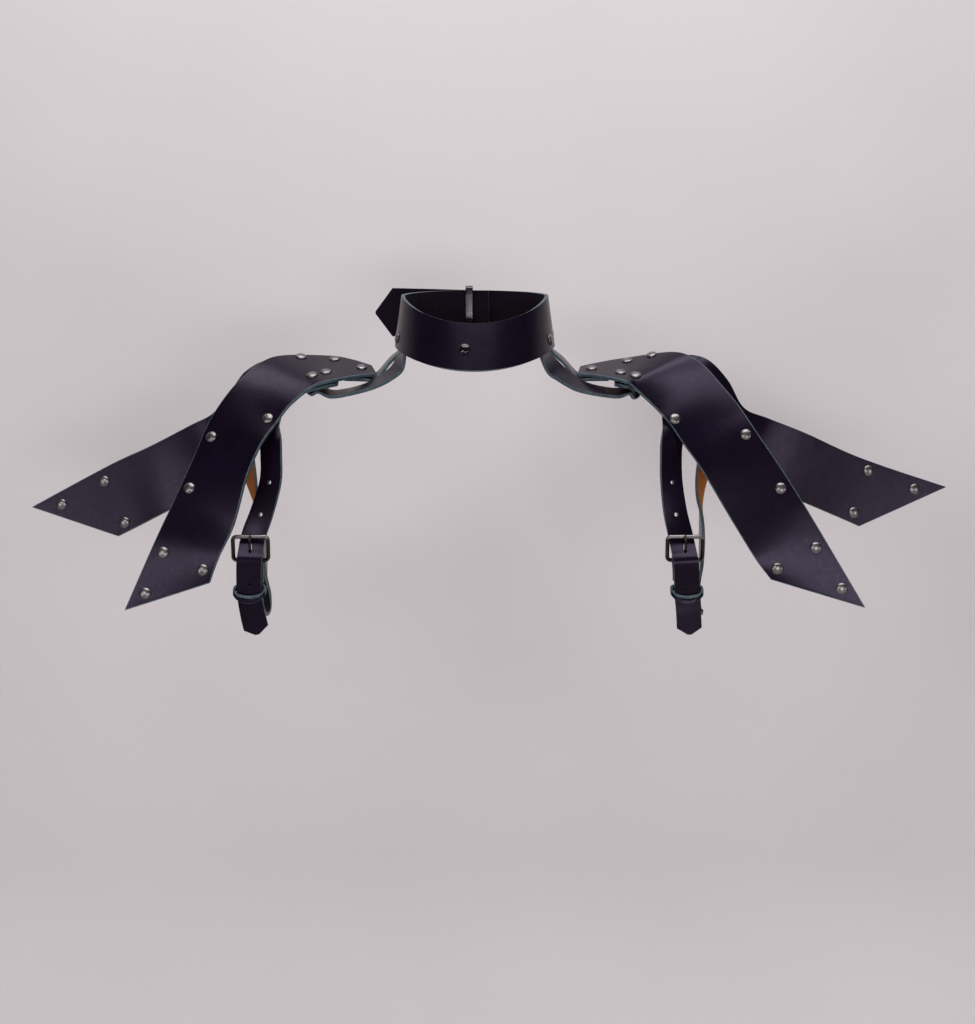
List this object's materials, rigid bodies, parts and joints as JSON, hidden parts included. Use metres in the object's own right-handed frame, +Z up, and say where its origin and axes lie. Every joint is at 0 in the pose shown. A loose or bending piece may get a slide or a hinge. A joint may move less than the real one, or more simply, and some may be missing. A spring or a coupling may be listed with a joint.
{
  "type": "shoulder harness",
  "caption": "Leather shoulder harness: riveted collar, two pointed blades over each shoulder and a buckled armhole loop under each wing.",
  "frame": {"origin": "middle of the collar, at the height of its lower edge at the sides", "axes": "+Z up, front toward -Y, +X to the right seen from the front; left and right in the node names are those of that view"},
  "size_m": [0.7365, 0.1391, 0.2691],
  "materials": {
    "black_leather": "smooth, lightly worn",
    "gunmetal": "polished dark nickel"
  },
  "bodies": {
    "root": {"armhole_rivet_left": "gunmetal", "armhole_rivet_right": "gunmetal", "armhole_strap_left": "black_leather", "armhole_strap_right": "black_leather", "buckle_frame_left": "gunmetal", "buckle_frame_right": "gunmetal", "buckle_prong_left": "gunmetal", "buckle_prong_right": "gunmetal", "buckle_strap_left": "black_leather", "buckle_strap_right": "black_leather", "buckle_strap_rivet_left": "gunmetal", "buckle_strap_rivet_right": "gunmetal", "collar": "black_leather", "collar_clasp": "gunmetal", "collar_front_rivet": "gunmetal", "collar_hanger_rivet_left": "gunmetal", "collar_hanger_rivet_right": "gunmetal", "collar_side_rivet_left": "gunmetal", "collar_side_rivet_right": "gunmetal", "front_blade_left": "black_leather", "front_blade_right": "black_leather", "front_rivet_left_1": "gunmetal", "front_rivet_left_2": "gunmetal", "front_rivet_left_3": "gunmetal", "front_rivet_left_4": "gunmetal", "front_rivet_left_5": "gunmetal", "front_rivet_right_1": "gunmetal", "front_rivet_right_2": "gunmetal", "front_rivet_right_3": "gunmetal", "front_rivet_right_4": "gunmetal", "front_rivet_right_5": "gunmetal", "hanger_strap_left": "black_leather", "hanger_strap_right": "black_leather", "keeper_left": "black_leather", "keeper_right": "black_leather", "rear_blade_left": "black_leather", "rear_blade_right": "black_leather", "rear_rivet_left_1": "gunmetal", "rear_rivet_left_2": "gunmetal", "rear_rivet_left_3": "gunmetal", "rear_rivet_right_1": "gunmetal", "rear_rivet_right_2": "gunmetal", "rear_rivet_right_3": "gunmetal", "root_rivet_left_1": "gunmetal", "root_rivet_left_2": "gunmetal", "root_rivet_left_3": "gunmetal", "root_rivet_left_4": "gunmetal", "root_rivet_left_5": "gunmetal", "root_rivet_right_1": "gunmetal", "root_rivet_right_2": "gunmetal", "root_rivet_right_3": "gunmetal", "root_rivet_right_4": "gunmetal", "root_rivet_right_5": "gunmetal", "shoulder_strap_left": "black_leather", "shoulder_strap_right": "black_leather"}
  },
  "joints": []
}
